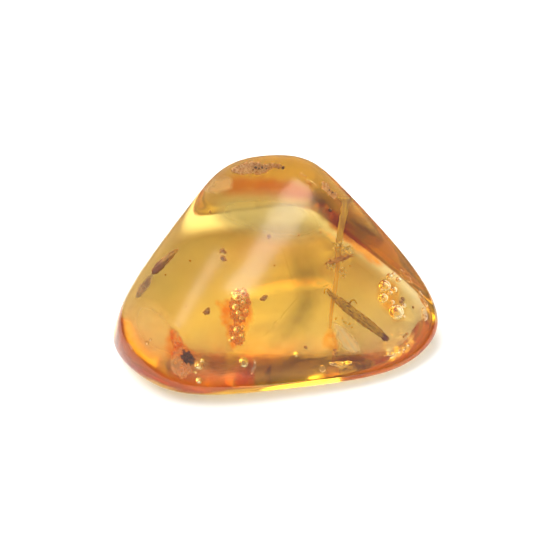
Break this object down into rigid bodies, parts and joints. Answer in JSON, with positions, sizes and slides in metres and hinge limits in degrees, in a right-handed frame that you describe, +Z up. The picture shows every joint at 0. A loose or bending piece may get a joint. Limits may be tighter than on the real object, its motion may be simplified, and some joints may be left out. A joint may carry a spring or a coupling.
{
  "type": "plant in amber",
  "caption": "Polished clear pebble of golden amber lying on its flat back, with a ribbed stem, a flat stalk, a bud scale and crumbs of bark sealed inside",
  "frame": {"origin": "on the resting flat of the pebble's back, under its middle", "axes": "+Z up; +X to the right along the pebble's length; -Y is the thin near edge that the polished face slopes down to"},
  "size_m": [0.0398, 0.029, 0.0145],
  "materials": {
    "amber": "polished clear fossil resin",
    "stem": "dry ribbed stem",
    "stalk": "dry strap of stalk",
    "scrap": "crumbled leaf",
    "bud": "dry bud scale",
    "crumb": "oxidised orange crust",
    "grain": "charred grain"
  },
  "bodies": {
    "root": {"amber_upper": "amber", "amber_lower": "amber", "ribbed_stem": "stem", "flat_stalk": "stalk", "leaf_scrap": "scrap", "bud_scale": "bud", "centre_crumb": "crumb", "left_crumb": "crumb", "dark_grain": "grain"}
  },
  "joints": []
}
